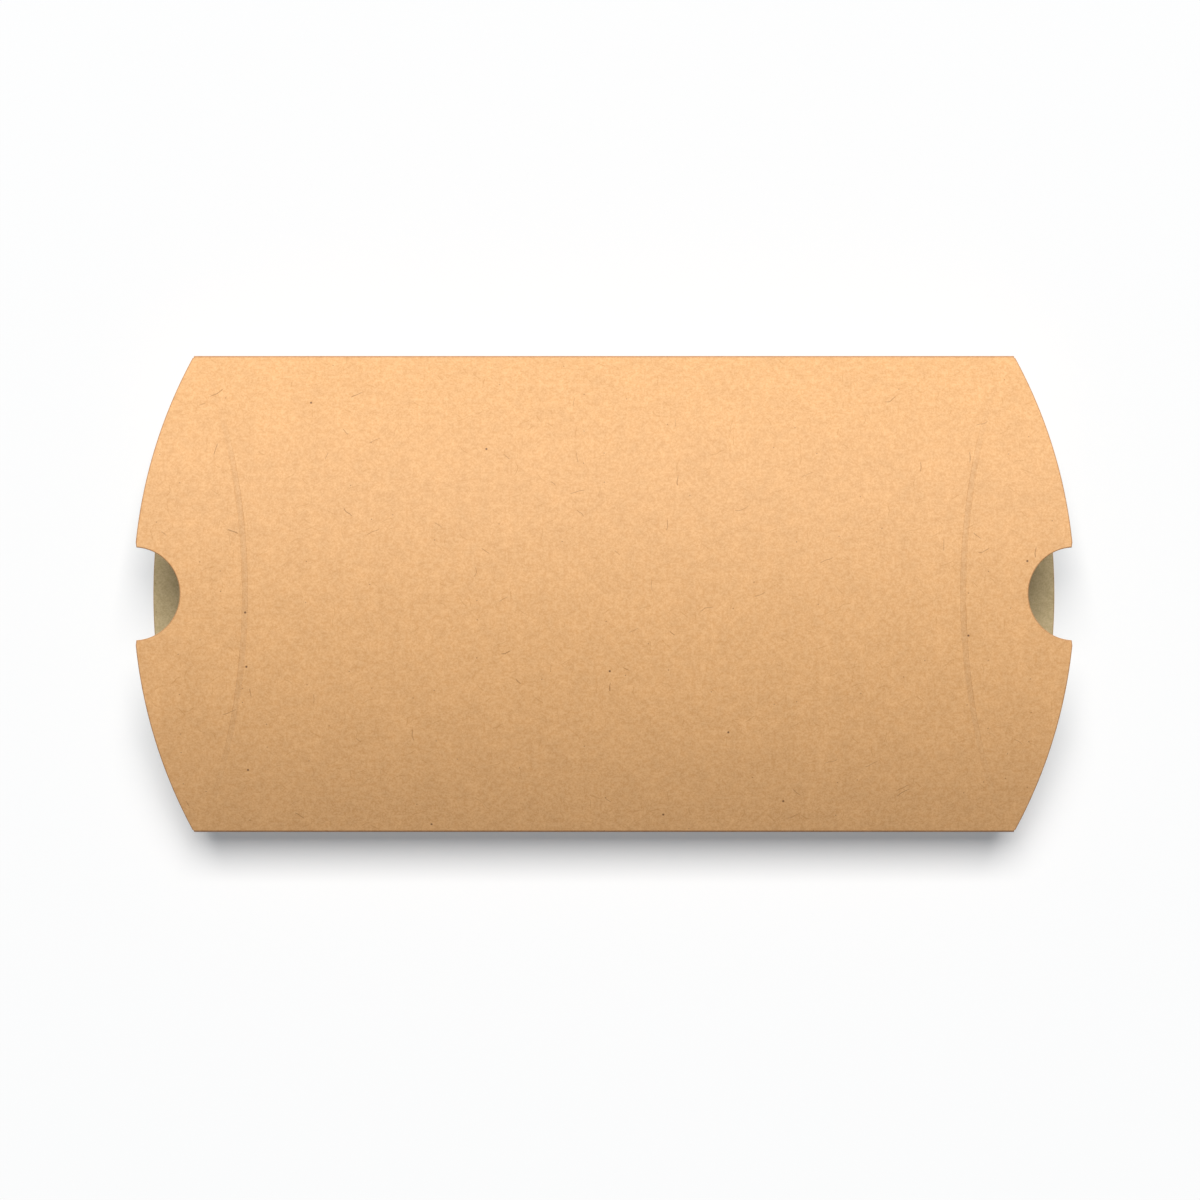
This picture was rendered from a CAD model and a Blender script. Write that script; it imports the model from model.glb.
"""A plain kraft pillow box, lying on its lower panel with both ends open, seen from above."""
import math
import bpy
import numpy as np
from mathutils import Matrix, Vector


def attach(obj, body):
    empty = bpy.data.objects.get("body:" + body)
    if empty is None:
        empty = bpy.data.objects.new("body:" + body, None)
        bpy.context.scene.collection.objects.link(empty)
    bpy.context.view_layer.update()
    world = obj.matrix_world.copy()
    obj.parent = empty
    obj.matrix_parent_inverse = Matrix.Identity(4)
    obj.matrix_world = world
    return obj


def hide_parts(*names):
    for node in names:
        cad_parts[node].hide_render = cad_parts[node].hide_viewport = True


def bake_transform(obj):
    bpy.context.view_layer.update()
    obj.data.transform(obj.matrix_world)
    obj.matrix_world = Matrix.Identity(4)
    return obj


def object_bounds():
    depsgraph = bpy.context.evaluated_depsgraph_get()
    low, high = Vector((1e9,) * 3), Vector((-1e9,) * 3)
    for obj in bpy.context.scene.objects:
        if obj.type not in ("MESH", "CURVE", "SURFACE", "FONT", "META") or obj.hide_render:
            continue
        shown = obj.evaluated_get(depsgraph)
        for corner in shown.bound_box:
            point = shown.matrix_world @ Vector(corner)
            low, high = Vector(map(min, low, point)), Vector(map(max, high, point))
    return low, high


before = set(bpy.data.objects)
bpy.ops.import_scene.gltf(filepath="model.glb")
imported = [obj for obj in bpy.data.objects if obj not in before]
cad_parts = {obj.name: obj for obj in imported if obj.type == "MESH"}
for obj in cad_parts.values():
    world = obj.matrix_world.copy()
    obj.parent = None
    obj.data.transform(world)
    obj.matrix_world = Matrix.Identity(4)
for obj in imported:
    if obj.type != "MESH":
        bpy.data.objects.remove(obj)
cad_box = [list(corner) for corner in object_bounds()]
mm = 0.001

# The table, the light and the camera.
# The box lies on a pale table that glows softly. A broad lamp hangs beyond its far long side, and a
# low one models the board's curve and is kept off the table. The camera hangs straight above.
high_corner = Vector(cad_box[1])
half_width = high_corner.y
height = high_corner.z
half_height = height / 2

table_half = 20000 * mm
table_mesh = bpy.data.meshes.new("table_top")
table_mesh.from_pydata(
    [(-table_half, -table_half, 0), (table_half, -table_half, 0),
     (table_half, table_half, 0), (-table_half, table_half, 0)], [], [(0, 1, 2, 3)],
)
table = bpy.data.objects.new("table_top", table_mesh)
bpy.context.scene.collection.objects.link(table)
table_paint = bpy.data.materials.new("white_table")
table_paint.use_nodes = True
table_shader = table_paint.node_tree.nodes["Principled BSDF"]
table_shader.inputs["Base Color"].default_value = (0.648, 0.625, 0.605, 1)
table_shader.inputs["Roughness"].default_value = 0.9
table_shader.inputs["Specular IOR Level"].default_value = 0.0
table_shader.inputs["Emission Color"].default_value = (0.78, 0.90, 1.0, 1)
table_shader.inputs["Emission Strength"].default_value = 0.262
table_mesh.materials.append(table_paint)


def soft_lamp(name, tilt, distance, width, depth, watts):
    """A soft lamp aimed at the pillow box, tilted so far from straight above to its far side."""
    lamp = bpy.data.lights.new(name, "AREA")
    lamp.shape = "RECTANGLE"
    lamp.size = width
    lamp.size_y = depth
    lamp.energy = watts
    stand = bpy.data.objects.new(name, lamp)
    bpy.context.scene.collection.objects.link(stand)
    away = Vector((0, math.sin(tilt), math.cos(tilt)))
    stand.location = away * distance
    stand.rotation_euler = away.to_track_quat("Z", "Y").to_euler()
    return stand


soft_lamp("far_side_lamp", tilt=math.radians(27), distance=12.0, width=8.0, depth=7.0, watts=2095)
low_lamp = soft_lamp(
    "low_lamp", tilt=math.radians(66), distance=12.0, width=9.6, depth=3.2, watts=590,
)
unlit = bpy.data.collections.new("not_lit_by_low_lamp")
unlit.objects.link(table)
low_lamp.light_linking.receiver_collection = unlit
unlit.collection_objects[0].light_linking.link_state = "EXCLUDE"
room = bpy.data.worlds.new("pale_room")
room.use_nodes = True
room.node_tree.nodes["Background"].inputs["Color"].default_value = (1, 1, 1, 1)
room.node_tree.nodes["Background"].inputs["Strength"].default_value = 0.03
bpy.context.scene.world = room
bpy.context.scene.view_settings.view_transform = "Standard"

# The frame shows this much of the plane through the side folds. Half the box's height, as a share
# of the camera's height over that plane, sets how far up the camera hangs
picture_width = 239.5 * mm
nearness = 0.02265
camera_aside = (-0.79 * mm, -1.2 * mm)
camera_height = half_height / nearness
camera_data = bpy.data.cameras.new("overhead")
camera_data.sensor_width = 36
camera_data.lens = camera_data.sensor_width * camera_height / picture_width
camera_data.clip_start = 10 * mm
camera_data.clip_end = 20
camera = bpy.data.objects.new("overhead", camera_data)
bpy.context.scene.collection.objects.link(camera)
camera.location = (*camera_aside, half_height + camera_height)
bpy.context.scene.camera = camera

# The upper panel.
# The bowed face of the box that looks up at the camera: one sheet of unbleached kraft board,
# smooth outside and duller inside, die-cut from the blank and sprung into an arch.
board = 0.4 * mm
rim_round = 0.07 * mm
fold_radius = 0.8 * mm
fold_y = half_width - fold_radius
half_tube = 80.1 * mm
crease_bow = 10.05 * mm
crease_width = 1.2 * mm
crease_radius = (half_width * half_width + crease_bow * crease_bow) / (2 * crease_bow)
crease_centre = half_tube - crease_bow + crease_radius


def arch_radius(reach, circle):
    """Radius of an arch that is level at its crown and meets a circle round the side fold."""
    rise = half_height - circle
    return (reach * reach / rise + half_height + circle) / 2


upper_radius = arch_radius(fold_y, fold_radius)
upper_reach = upper_radius * math.asin(fold_y / (upper_radius - fold_radius))
fold_top_angle = upper_reach / upper_radius


def upper_sheet(x, along, depth):
    """Point of the upper sheet, along it from the crown and so deep below its outer face."""
    angle = along / upper_radius
    radius = upper_radius - depth
    return x, radius * np.sin(angle), height - upper_radius + radius * np.cos(angle)


def upper_blank(along):
    """Where a point of the upper sheet lay across the flat blank."""
    return along


def crease_line(y, beside=0.0):
    """Plan x of the right-hand score, or of the line so far beside it towards the flap."""
    return crease_centre - np.sqrt((crease_radius - beside) ** 2 - y * y)


def beside_crease(x, y):
    """How far a place lies from the nearer score, measured square to it: positive on the flap."""
    return crease_radius - np.hypot(crease_centre - np.abs(x), y)


# The flap's thumb notch, and where it meets the free edge, set the stations across the sheet
thumb_notch_radius = 9.1 * mm
notch_corner = 9.093 * mm
beside_fold = 4 * mm
close_column = 0.5 * mm
even_columns = 30


def upper_stations():
    """Stations across the upper sheet, closer together round the notch and beside the folds."""
    notch = thumb_notch_radius * np.sin(np.linspace(-1, 1, 45) * math.pi / 2)
    notch = notch[np.abs(notch) < notch_corner]
    side = np.concatenate([
        np.linspace(notch_corner, upper_reach - beside_fold, 36)[1:],
        np.linspace(upper_reach - beside_fold, upper_reach, 11)[1:],
    ])
    return np.concatenate([-side[::-1], [-notch_corner], notch, [notch_corner], side])


def inward_offsets(loop, widths):
    """The corners of a closed outline moved inwards, by each side's own width."""
    nearly_straight = 0.05
    following = np.roll(loop, -1, axis=0)
    turning = math.copysign(1, np.sum(loop[:, 0] * following[:, 1] - following[:, 0] * loop[:, 1]))
    ahead = following - loop
    ahead *= turning / np.linalg.norm(ahead, axis=1)[:, None]
    normal = np.stack([-ahead[:, 1], ahead[:, 0]], axis=1)
    moved = np.empty_like(loop)
    for k in range(len(loop)):
        n0, n1 = normal[k - 1], normal[k]
        w0, w1 = widths[k - 1], widths[k]
        cross = n0[0] * n1[1] - n0[1] * n1[0]
        if abs(cross) < nearly_straight:
            moved[k] = loop[k] + (n0 * w0 + n1 * w1) / 2
        else:
            meeting = np.array([w0 * n1[1] - w1 * n0[1], w1 * n0[0] - w0 * n1[0]]) / cross
            moved[k] = loop[k] + meeting
    return moved


def cut_board(name, grid, sheet, blank, raw, thickness=board, rounding=rim_round, worn=None):
    """A closed piece of board over a lattice of (x, along) places, with the (x, along, depth) of
    its points. raw says which of its four sides are cut edges: they are rounded and rubbed, and
    the others meet their neighbour flush."""
    rows, columns = grid.shape[:2]
    ring = (
        [(0, i) for i in range(columns - 1)] + [(j, columns - 1) for j in range(rows - 1)]
        + [(rows - 1, i) for i in range(columns - 1, 0, -1)]
        + [(j, 0) for j in range(rows - 1, 0, -1)]
    )
    sides = (
        ["low"] * (columns - 1) + ["right"] * (rows - 1)
        + ["high"] * (columns - 1) + ["left"] * (rows - 1)
    )
    outline = np.array([grid[j, i] for j, i in ring])
    cut = np.array([side in raw for side in sides])
    face = grid.copy()
    for (j, i), place in zip(ring, inward_offsets(outline, np.where(cut, rounding, 0.0))):
        face[j, i] = place
    flat = face.reshape(-1, 2)

    # Four layers of points: the outer face, the cut edge's two lines and the inner face. The inner
    # half is held apart from the outer on the blank, so that its grain differs
    held_apart = 0.4
    layers = [(flat, 0.0), (outline, rounding), (outline, thickness - rounding), (flat, thickness)]
    points = np.concatenate([np.stack(sheet(p[:, 0], p[:, 1], d), axis=1) for p, d in layers])
    places = np.concatenate([np.column_stack([p, np.full(len(p), d)]) for p, d in layers])
    inside = np.where(places[:, 2] < thickness / 2, 0.0, held_apart)
    on_blank = np.stack([places[:, 0], blank(places[:, 1]), inside], axis=1)
    size, around = len(flat), len(ring)
    inner = size + 2 * around
    face_ring = np.array([j * columns + i for j, i in ring])
    edge_line = size + np.arange(around)
    rims = [face_ring, edge_line, edge_line + around, inner + face_ring]
    rubbed = np.zeros(len(points))
    for rim in rims:
        rubbed[rim] = cut | np.roll(cut, 1)
    if worn is not None:
        rubbed = np.maximum(rubbed, worn(places[:, 0], places[:, 1]))

    # Faces of the outside (0), of the inside (1) and round the edge (2)
    faces, kinds = [], []
    for j in range(rows - 1):
        for i in range(columns - 1):
            a = j * columns + i
            faces.append((a, a + 1, a + columns + 1, a + columns))
            faces.append((inner + a, inner + a + columns, inner + a + columns + 1, inner + a + 1))
            kinds += [0, 1]
    for k in range(around):
        n = (k + 1) % around
        for over, under in zip(rims, rims[1:]):
            faces.append((over[k], under[k], under[n], over[n]))
            kinds.append(2)
    mesh = bpy.data.meshes.new(name)
    mesh.from_pydata(points.tolist(), [], [tuple(int(v) for v in f) for f in faces])
    mesh.polygons.foreach_set("material_index", kinds)
    mesh.polygons.foreach_set("use_smooth", [True] * len(faces))
    where = mesh.attributes.new("blank_place", "FLOAT_VECTOR", "POINT")
    where.data.foreach_set("vector", on_blank.astype(np.float32).ravel())
    wear = mesh.attributes.new("rubbed", "FLOAT", "POINT")
    wear.data.foreach_set("value", rubbed.astype(np.float32))
    mesh.update()
    mesh.set_sharp_from_angle(angle=math.radians(50))
    for finish in (kraft_outside, kraft_inside, kraft_cut_edge):
        mesh.materials.append(finish)
    piece = bpy.data.objects.new(name, mesh)
    bpy.context.scene.collection.objects.link(piece)
    return piece, places


def node(tree, kind, settings=(), **sockets):
    """A shader node with its settings and its sockets filled: a link for a socket, else a value."""
    made = tree.nodes.new(kind)
    for key, value in dict(settings).items():
        setattr(made, key, value)
    for key, value in sockets.items():
        index = int(key[1:]) if key[0] == "i" and key[1:].isdigit() else key.replace("_", " ")
        if isinstance(value, bpy.types.NodeSocket):
            tree.links.new(value, made.inputs[index])
        else:
            made.inputs[index].default_value = value
    return made


def maths(tree, operation, a, b=0.0, c=0.0):
    """One sum on two or three numbers."""
    return node(tree, "ShaderNodeMath", {"operation": operation}, i0=a, i1=b, i2=c).outputs[0]


def mixed(tree, share, colour, other, blend="MIX"):
    """A colour with a share of another mixed in, or multiplied in."""
    return node(tree, "ShaderNodeMix", {"data_type": "RGBA", "blend_type": blend},
                i0=share, i6=colour, i7=other).outputs[2]


def ramped(tree, value, none_at, full_at, strength=1.0):
    """A smooth rise from nothing at one value to its full strength at another."""
    return node(tree, "ShaderNodeMapRange", {"interpolation_type": "SMOOTHSTEP"}, Value=value,
                From_Min=none_at, From_Max=full_at, To_Min=0.0, To_Max=strength).outputs[0]


def place_on_blank(tree):
    """Where a point of the board lay on the flat blank, in millimetres."""
    stored = node(tree, "ShaderNodeAttribute", {"attribute_name": "blank_place"})
    return node(tree, "ShaderNodeVectorMath", {"operation": "SCALE"},
                i0=stored.outputs["Vector"], Scale=1 / mm).outputs[0]


def noise(tree, place, per_mm, detail=2.0, rough=0.5):
    """Soft noise over the blank, with so many features per millimetre, centred on zero."""
    made = node(tree, "ShaderNodeTexNoise", Vector=place, Scale=per_mm, Detail=detail,
                Roughness=rough)
    return maths(tree, "SUBTRACT", made.outputs["Fac"], 0.5)


def hairs(tree, place, turn, spacing, length, thickness, share):
    """Short curved fibres that lie about one direction, all of them and the few dark ones alone:
    1 on a fibre, 0 off it."""
    bends_per_mm = 0.35
    curl = 1.6
    solid_core = 0.3
    half_solid, half_whole = 0.25, 0.42
    faintest = 0.4
    dark_share = 0.08
    bend = node(tree, "ShaderNodeTexNoise", Vector=place, Scale=bends_per_mm, Detail=1.0)
    shift = node(tree, "ShaderNodeVectorMath", {"operation": "MULTIPLY_ADD"},
                 i0=bend.outputs["Color"], i1=(curl, curl, 0.0), i2=place)
    turned = node(tree, "ShaderNodeMapping", {"vector_type": "TEXTURE"}, Vector=shift.outputs[0],
                  Rotation=(0, 0, turn), Scale=(length, spacing, 1.0))
    cells = node(tree, "ShaderNodeTexVoronoi", {"voronoi_dimensions": "2D", "feature": "F1"},
                 Vector=turned.outputs[0], Scale=1.0, Randomness=1.0)
    parts = node(tree, "ShaderNodeVectorMath", {"operation": "SUBTRACT"},
                 i0=turned.outputs[0], i1=cells.outputs["Position"])
    axis = node(tree, "ShaderNodeSeparateXYZ", Vector=parts.outputs[0])
    across = maths(tree, "MULTIPLY", maths(tree, "ABSOLUTE", axis.outputs["Y"]), spacing)
    along = maths(tree, "ABSOLUTE", axis.outputs["X"])
    shape = maths(tree, "MULTIPLY", ramped(tree, across, thickness, thickness * solid_core),
                  ramped(tree, along, half_whole, half_solid))
    pick = node(tree, "ShaderNodeSeparateColor", Color=cells.outputs["Color"])
    kept = maths(tree, "LESS_THAN", pick.outputs[0], share)
    fade = maths(tree, "MULTIPLY_ADD", pick.outputs[1], 1 - faintest, faintest)
    fibres = maths(tree, "MULTIPLY", shape, maths(tree, "MULTIPLY", kept, fade))
    is_dark = maths(tree, "LESS_THAN", pick.outputs[2], dark_share)
    return fibres, maths(tree, "MULTIPLY", fibres, is_dark)


def kraft(name, pale, dark, fibre, worn, rough, gloss, mottle_strength=1.0):
    """Kraft board: clouds, fine mottle, fibres, specks of bark, pressed scores and rubbed rims."""
    mottle_contrast = 1.6 * mottle_strength
    grain_contrast = 4.2 * mottle_strength
    fibre_strength = 0.5
    dark_fibre = (0.19, 0.10, 0.045, 1)
    dark_fibre_strength = 0.6
    bark = (0.12, 0.06, 0.03, 1)
    speck_core = 0.35
    pressed_tone = (0.911, 0.917, 0.9355, 1)
    sheen_mottle = 0.12
    grain_relief = 0.6
    fibre_relief = 0.35
    finish = bpy.data.materials.new(name)
    finish.use_nodes = True
    tree = finish.node_tree
    shader = tree.nodes["Principled BSDF"]
    place = place_on_blank(tree)

    # Mottle and grain between the dark and the pale tone, under two sizes of broad cloud
    mottle = noise(tree, place, per_mm=1.0, detail=1.0)
    grain = noise(tree, place, per_mm=2.4, detail=3.0, rough=0.8)
    tone = maths(tree, "MULTIPLY_ADD", mottle, mottle_contrast, 0.5)
    tone = maths(tree, "MULTIPLY_ADD", grain, grain_contrast, tone)
    colour = mixed(tree, tone, dark, pale)
    clouds = 1.0
    for per_mm, detail, strength in ((0.13, 2.0, 0.12), (0.45, 1.0, 0.16)):
        clouds = maths(tree, "MULTIPLY_ADD", noise(tree, place, per_mm, detail), strength, clouds)
    colour = node(tree, "ShaderNodeVectorMath", {"operation": "SCALE"}, i0=colour,
                  Scale=clouds).outputs[0]

    # Loose fibres in three directions, a few of them dark
    threads = dark_threads = 0.0
    for turn, spacing, length, thickness, share in (
        (0.4, 2.2, 3.6, 0.10, 0.10), (1.5, 2.6, 3.0, 0.11, 0.09), (2.5, 2.4, 2.6, 0.12, 0.08),
    ):
        layer, dark_layer = hairs(tree, place, turn, spacing, length, thickness, share)
        threads = maths(tree, "MAXIMUM", layer, threads)
        dark_threads = maths(tree, "MAXIMUM", dark_layer, dark_threads)
    colour = mixed(tree, maths(tree, "MULTIPLY", threads, fibre_strength), colour, fibre)
    dark_threads = maths(tree, "MULTIPLY", dark_threads, dark_fibre_strength)
    colour = mixed(tree, dark_threads, colour, dark_fibre)

    # Specks of bark: the large dark ones, then the small faint ones
    for per_mm, radius, share, strength in ((0.085, 0.30, 0.11, 0.9), (0.24, 0.16, 0.10, 0.6)):
        cells = node(tree, "ShaderNodeTexVoronoi", {"voronoi_dimensions": "2D"}, Vector=place,
                     Scale=per_mm, Randomness=1.0)
        near = maths(tree, "DIVIDE", cells.outputs["Distance"], per_mm)
        dot = ramped(tree, near, radius, radius * speck_core, strength)
        pick = node(tree, "ShaderNodeSeparateColor", Color=cells.outputs["Color"])
        speck = maths(tree, "MULTIPLY", dot, maths(tree, "LESS_THAN", pick.outputs[0], share))
        colour = mixed(tree, speck, colour, bark)

    # Where the board is pressed in or rubbed, and then its sheen and fine relief
    pressed_in = node(tree, "ShaderNodeAttribute", {"attribute_name": "pressed_in"}).outputs["Fac"]
    colour = mixed(tree, pressed_in, colour, pressed_tone, "MULTIPLY")
    rubbed = node(tree, "ShaderNodeAttribute", {"attribute_name": "rubbed"}).outputs["Fac"]
    colour = mixed(tree, rubbed, colour, worn, "MULTIPLY")
    tree.links.new(colour, shader.inputs["Base Color"])
    roughness = maths(tree, "MULTIPLY_ADD", mottle, sheen_mottle, rough)
    tree.links.new(roughness, shader.inputs["Roughness"])
    shader.inputs["Specular IOR Level"].default_value = gloss
    relief = maths(tree, "MULTIPLY_ADD", grain, grain_relief, mottle)
    relief = maths(tree, "MULTIPLY_ADD", threads, fibre_relief, relief)
    bump = node(tree, "ShaderNodeBump", Height=relief, Strength=0.5, Distance=0.03 * mm)
    tree.links.new(bump.outputs[0], shader.inputs["Normal"])
    return finish


kraft_outside = kraft(
    "kraft_outside", pale=(0.638, 0.3735, 0.1755, 1), dark=(0.543, 0.291, 0.119, 1),
    fibre=(0.410, 0.206, 0.070, 1), worn=(0.62, 0.54, 0.58, 1), rough=0.5, gloss=0.12,
)
kraft_inside = kraft(
    "kraft_inside", pale=(0.470, 0.370, 0.217, 1), dark=(0.376, 0.296, 0.156, 1),
    fibre=(0.330, 0.250, 0.135, 1), worn=(0.80, 0.74, 0.66, 1), rough=0.86, gloss=0.15,
)
kraft_cut_edge = kraft(
    "kraft_cut_edge", pale=(0.559, 0.323, 0.144, 1), dark=(0.454, 0.253, 0.109, 1),
    fibre=(0.349, 0.188, 0.083, 1), worn=(0.90, 0.86, 0.80, 1), rough=0.9, gloss=0.1,
    mottle_strength=1.6,
)


def lattice(reach, rows, beside, count):
    """Rows of places from one side to its mirror image: a close column beside each side, and so
    many even ones between."""
    low = np.stack([-reach, rows], axis=1)
    high = np.stack([reach, rows], axis=1)
    inset = (high - low) * beside / np.linalg.norm(high - low, axis=1)[:, None]
    between = [low + (high - low) * share for share in np.linspace(0, 1, count + 2)[1:-1]]
    return np.stack([low, low + inset, *between, high - inset, high], axis=1)


upper_rows = upper_stations()
upper_y = upper_sheet(0, upper_rows, 0)[1]
upper_side = crease_line(upper_y, -crease_width / 2)
upper_panel, _ = cut_board(
    "upper_panel_board", lattice(upper_side, upper_rows, close_column, even_columns),
    upper_sheet, upper_blank, raw=(),
)
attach(upper_panel, "tube")
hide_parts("upper_panel")

# The lower panel.
# The face the box lies on: the same board, arched downwards, with a narrow flat land at its
# crown where the box has settled. Its raw edge lies over the tab along the seam.
half_land = 5 * mm
glue_thickness = 0.05 * mm
bond_gap = 0.08 * mm
seam_setback = 0.8 * mm
close_end = 0.3 * mm
side_reach = fold_y - half_land
side_radius = arch_radius(side_reach, fold_radius)
tab_offset = board + glue_thickness + 2 * bond_gap
seam_radius = arch_radius(side_reach, fold_radius + tab_offset)
side_extent = half_land + side_radius * math.asin(side_reach / (side_radius - fold_radius))
seam_edge = half_width - seam_setback
seam_extent = half_land + seam_radius * math.asin((seam_edge - half_land) / seam_radius)
fold_low_angle = math.pi - (side_extent - half_land) / side_radius
fold_length = fold_radius * (fold_low_angle - fold_top_angle)


def lower_sheet(x, along, depth):
    """Point of the lower sheet, along it from the crown and so deep inside its outer face."""
    over = np.maximum(np.abs(along) - half_land, 0)
    radius = np.where(along > 0, seam_radius, side_radius)
    angle = over / radius
    beside = np.minimum(np.abs(along), half_land) + (radius - depth) * np.sin(angle)
    return x, np.sign(along) * beside, radius - (radius - depth) * np.cos(angle)


def lower_blank(along):
    """Where a point of the lower sheet lay across the flat blank."""
    return -(upper_reach + fold_length + side_extent + along)


def turned_over(grid):
    """A lattice run the other way round, for a sheet whose outer face looks the other way."""
    return grid[:, ::-1]


lower_rows = np.concatenate([
    np.linspace(-side_extent, beside_fold - side_extent, 11)[:-1],
    np.linspace(beside_fold - side_extent, -half_land, 40)[:-1],
    np.linspace(-half_land, half_land, 9),
    np.linspace(half_land, seam_extent - beside_fold, 39)[1:-1],
    np.linspace(seam_extent - beside_fold, seam_extent - close_end, 10), [seam_extent],
])
lower_y = lower_sheet(0, lower_rows, 0)[1]
lower_side = crease_line(lower_y, -crease_width / 2)
lower_grid = lattice(lower_side, lower_rows, close_column, even_columns)
lower_panel, _ = cut_board(
    "lower_panel_board", turned_over(lower_grid), lower_sheet, lower_blank, raw=("high",),
)
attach(lower_panel, "tube")
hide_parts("lower_panel")

# The curved scores.
# Each is a line pressed into the outside of the board by a creasing rule before folding: a band a
# little darker than the board, sunk at its edges and sprung back between them.
crease_depth = 0.1 * mm
crease_spring = 0.07 * mm
crease_wall = 0.12 * mm
full_print = 20 * mm
faint_print = 36 * mm
faint_share = 0.3
last_print = 46 * mm
last_fade = 6 * mm


def eased(share):
    """A share held between nothing and all of it, with a smooth start and end."""
    share = np.clip(share, 0, 1)
    return share * share * (3 - 2 * share)


def print_of_rule(y):
    """How strongly the rule has marked the board: fully in the middle, hardly at the folds."""
    middle = eased((faint_print - np.abs(y)) / (faint_print - full_print))
    end = np.clip((last_print - np.abs(y)) / last_fade, 0, 1)
    return (faint_share + (1 - faint_share) * middle) * end


def in_groove(x, y):
    """1 along the bottom of the score's groove, and less and less up its walls."""
    return np.clip((crease_width / 2 - np.abs(beside_crease(x, y))) / crease_wall, 0, 1)


def pressed(sheet):
    """The sheet with the score's groove, which pushes the whole board inwards."""
    def place(x, along, depth):
        _, y, _ = sheet(x, along, 0.0)
        from_middle = 2 * np.abs(beside_crease(x, y)) / crease_width
        floor = crease_depth - crease_spring * (1 - from_middle ** 2)
        return sheet(x, along, depth + floor * print_of_rule(y) * eased(in_groove(x, y)))
    return place


def darken_groove(piece, places, sheet):
    """Marks a score as pressed in, most along its bottom, where the board is a little darker."""
    _, y, _ = sheet(places[:, 0], places[:, 1], 0.0)
    mark = piece.data.attributes.new("pressed_in", "FLOAT", "POINT")
    strength = print_of_rule(y) * in_groove(places[:, 0], y)
    mark.data.foreach_set("value", strength.astype(np.float32))


def bend_between(piece, places, sheet):
    """Lets a piece turn smoothly from the tube to its flap, by the roll of each of its points."""
    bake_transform(piece)
    _, y, z = sheet(places[:, 0], places[:, 1], 0.0)


# Each level's sheet, its places on the blank, its stations and their plan y, the height of its
# crown, how its bend eases out towards the corners, and how many degrees its flaps swing
levels = {
    "upper": (upper_sheet, upper_blank, upper_rows, upper_y, height, 1.5, 87),
    "lower": (lower_sheet, lower_blank, lower_rows, lower_y, 0.0, 2.0, 98),
}

# Half the lines along a score: evenly over its bottom, and closer together up its wall
half_groove = np.concatenate([
    np.linspace(0, crease_width / 2 - crease_wall, 6),
    crease_width / 2 - crease_wall * np.array([0.7, 0.4, 0.15, 0]),
])
across_groove = np.concatenate([-half_groove[:0:-1], half_groove])
for level, (sheet, blank, stations, plan_y, crown, ease, swing) in levels.items():
    for side_name, side in (("right", 1), ("left", -1)):
        lines = np.stack([
            np.stack([side * crease_line(plan_y, offset), stations], axis=1)
            for offset in across_groove
        ], axis=1)
        if (side < 0) != (level == "lower"):
            lines = turned_over(lines)
        name = f"{level}_{side_name}_crease"
        raw = ("high",) if level == "lower" else ()
        score, places = cut_board(f"{name}_score", lines, pressed(sheet), blank, raw)
        darken_groove(score, places, sheet)
        bend_between(score, places, sheet)
        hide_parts(name)

# The end flaps.
# The panels go on past the scores as flaps with bowed free edges; the upper ones have a
# half-round thumb notch. They stand open here, and close one over the other, the lower first.
flap_corner = 81.8 * mm
flap_bow = 10.09 * mm
flap_crown = flap_corner + flap_bow
edge_radius = (half_width * half_width + flap_bow * flap_bow) / (2 * flap_bow)
edge_column = 0.25 * mm


def free_edge(y, notched):
    """Plan x of a right-hand flap's free edge, cut back by the thumb notch."""
    edge = flap_crown - edge_radius + np.sqrt(edge_radius ** 2 - y * y)
    if notched:
        notch = flap_crown - np.sqrt(np.maximum(thumb_notch_radius ** 2 - y * y, 0))
        edge = np.where(np.abs(y) <= notch_corner, np.minimum(notch, edge), edge)
    return edge


def flap_lattice(stations, plan_y, side, notched):
    """Places over a right-hand or left-hand flap, with a close column inside its free edge."""
    near = np.stack([crease_line(plan_y, crease_width / 2), stations], axis=1)
    edge = np.stack([free_edge(plan_y, notched), stations], axis=1)
    outline = np.concatenate([edge, near[::-1]])
    widths = np.zeros(len(outline))
    widths[:len(edge) - 1] = edge_column
    inner = inward_offsets(outline, widths)[:len(edge)]
    columns = [near + (inner - near) * share for share in np.linspace(0, 1, 16)[1:]]
    grid = np.stack([near, *columns, edge], axis=1)
    grid[:, :, 0] *= side
    return grid


for level, (sheet, blank, stations, plan_y, crown, ease, swing) in levels.items():
    for side_name, side in (("right", 1), ("left", -1)):
        grid = flap_lattice(stations, plan_y, side, notched=level == "upper")
        raw = ["right"]
        if (side < 0) != (level == "lower"):
            grid = turned_over(grid)
            raw = ["left"]
        if level == "lower":
            raw.append("high")
        name = f"{level}_{side_name}_flap"
        flap, places = cut_board(f"{name}_board", grid, sheet, blank, raw)
        bend_between(flap, places, sheet)
        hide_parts(name, f"{name}_wings")

# The side folds.
# Straight scores along both long sides, folded by the carton machine, so the board rolls
# tightly round from the upper panel: into the lower panel on one side, into the tab on the other.
even_reach = 80 * mm
tab_angle = math.pi - math.asin(side_reach / (seam_radius - fold_radius - tab_offset))


def fold_sheet(side):
    """A fold's ring, along it from the upper panel and so deep inside its outer face."""
    def place(x, along, depth):
        angle = fold_top_angle + along / fold_radius
        radius = fold_radius - depth
        return x, side * (fold_y + radius * np.sin(angle)), half_height + radius * np.cos(angle)
    return place


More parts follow.
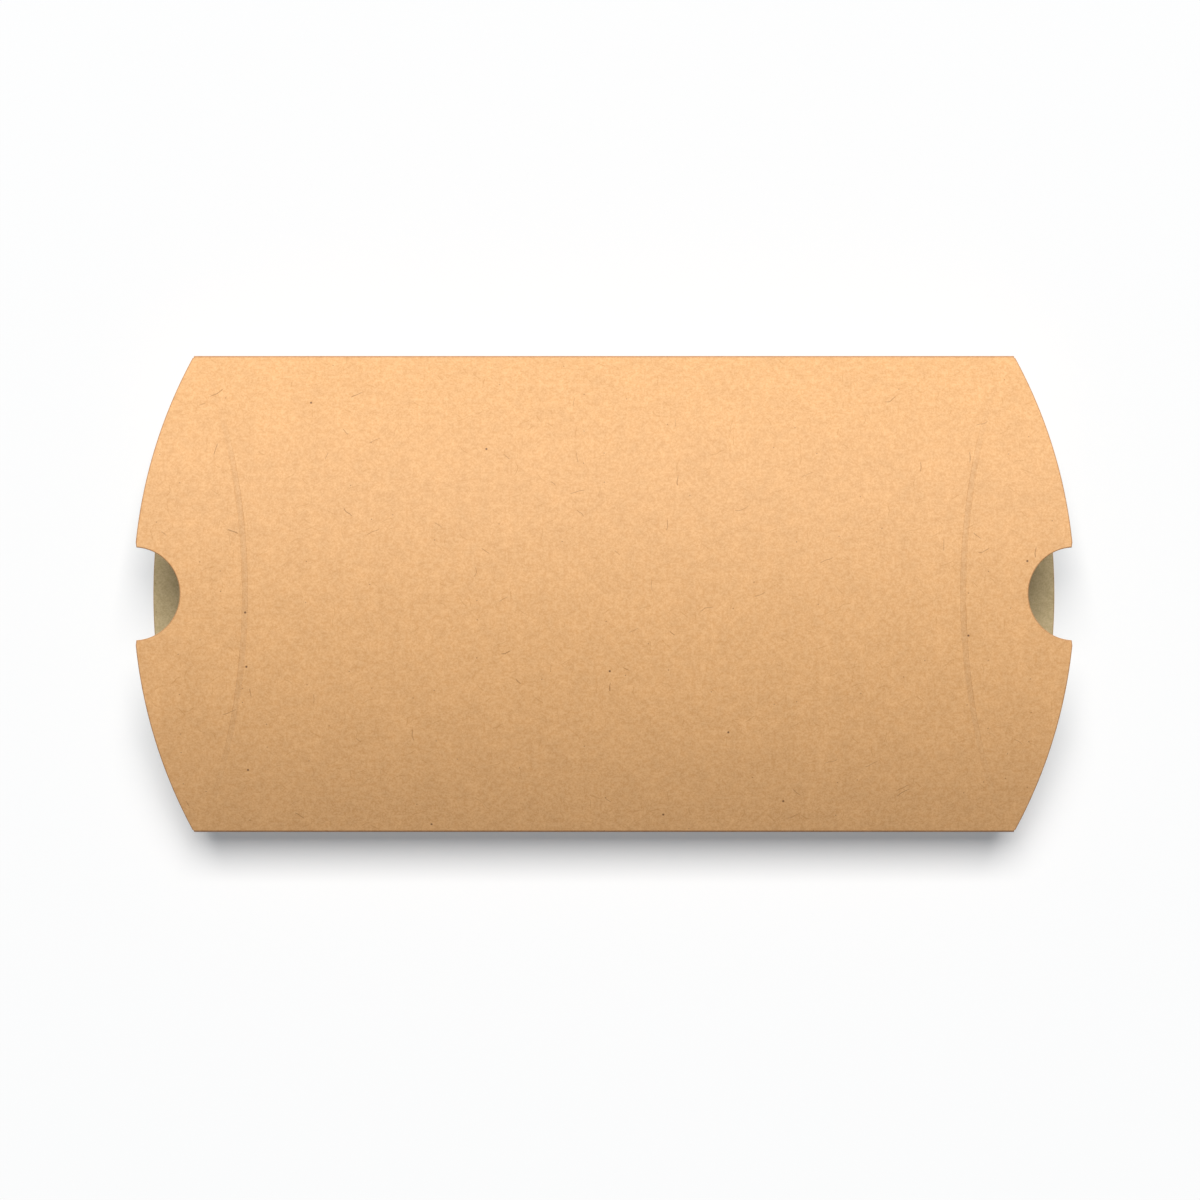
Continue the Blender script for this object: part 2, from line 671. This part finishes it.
for name, side, end_angle in (("side_fold", -1, fold_low_angle), ("seam_fold", 1, tab_angle)):
    fold_end = fold_radius * (end_angle - fold_top_angle)
    lengths = np.concatenate([
        [-flap_corner, -flap_corner + close_end], np.linspace(-even_reach, even_reach, 33),
        [flap_corner - close_end, flap_corner],
    ])
    grid = np.stack(np.meshgrid(lengths, np.linspace(0, fold_end, 17)), axis=2)
    if side < 0:
        grid = turned_over(grid)

    def fold_blank(along, side=side):
        return side * (upper_reach + along)

    def fold_wear(x, along, fold_end=fold_end):
        return np.sin(np.clip(along / fold_end, 0, 1) * math.pi) ** 0.5

    fold, _ = cut_board(
        f"{name}_roll", grid, fold_sheet(side), fold_blank, raw=("left", "right"), worn=fold_wear,
    )
    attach(fold, "tube")
    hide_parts(name)

# The glue tab.
# A narrow strip of the same board, turned in along the seam fold and trimmed on the slant at
# its ends, so that it stays clear of the scores. It is glued flat inside the lower panel.
tab_width = 12 * mm
tab_setback = 3 * mm
tab_slant = math.radians(60)
tab_end = half_tube - tab_setback
tab_slope = tab_width / math.tan(tab_slant)
tab_radius = seam_radius - tab_offset
tab_start_angle = math.pi - tab_angle


def tab_sheet(x, along, depth):
    """Point of the tab, along it from the seam fold and so deep inside its glued face."""
    angle = tab_start_angle - along / tab_radius
    radius = tab_radius - depth
    return x, half_land + radius * np.sin(angle), seam_radius - radius * np.cos(angle)


def tab_blank(along):
    """Where a point of the tab lay across the flat blank."""
    return upper_reach + fold_length + along


tab_rows = np.concatenate([np.linspace(0, tab_width - close_end, 13), [tab_width]])
tab_side = tab_end - tab_slope * tab_rows / tab_width
tab, _ = cut_board(
    "glue_tab_board", lattice(tab_side, tab_rows, close_end, even_columns),
    tab_sheet, tab_blank, raw=("left", "right", "high"),
)
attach(tab, "tube")
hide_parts("glue_tab")

# The glue.
# One thin line of white carton glue, dried clear and yellowish, laid between the tab and the
# lower panel and pressed out unevenly, short of the tab's edges.
glue_margin = 1.2 * mm
pressed_out = 0.15 * mm
long_wave = 3.1 * mm
short_wave = 1.3 * mm


def glue_sheet(x, along, depth):
    """Point of the glue, in the narrow gap outside the tab's glued face."""
    return tab_sheet(x, along, depth - glue_thickness - bond_gap)


def glue_finish():
    """Dried glue: pale, slightly yellow and a little glossy, with faint ripples."""
    hollow = (0.62, 0.50, 0.30, 1)
    crest = (0.78, 0.68, 0.46, 1)
    finish = bpy.data.materials.new("dried_glue")
    finish.use_nodes = True
    tree = finish.node_tree
    shader = tree.nodes["Principled BSDF"]
    ripple = noise(tree, place_on_blank(tree), per_mm=0.8, detail=2.0)
    colour = mixed(tree, maths(tree, "ADD", ripple, 0.5), hollow, crest)
    tree.links.new(colour, shader.inputs["Base Color"])
    bump = node(tree, "ShaderNodeBump", Height=ripple, Strength=0.4, Distance=0.05 * mm)
    tree.links.new(bump.outputs[0], shader.inputs["Normal"])
    shader.inputs["Roughness"].default_value = 0.35
    return finish


glue_rows = np.linspace(glue_margin, tab_width - glue_margin, 10)
glue_side = tab_end - tab_slope * glue_rows / tab_width - glue_margin
glue_grid = lattice(glue_side, glue_rows, close_end, 40)
edge_x = glue_grid[-1, :, 0]
wobble = np.sin(edge_x / long_wave) + np.sin(edge_x / short_wave + 1)
glue_grid[-1, :, 1] -= pressed_out * (2 + wobble)
glue, _ = cut_board(
    "glue_line_film", glue_grid, glue_sheet, tab_blank, raw=("left", "right", "low", "high"),
    thickness=glue_thickness, rounding=glue_thickness / 4,
)
glue.data.materials.clear()
glue.data.materials.append(glue_finish())
glue.data.polygons.foreach_set("material_index", [0] * len(glue.data.polygons))
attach(glue, "tube")
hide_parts("glue_line")
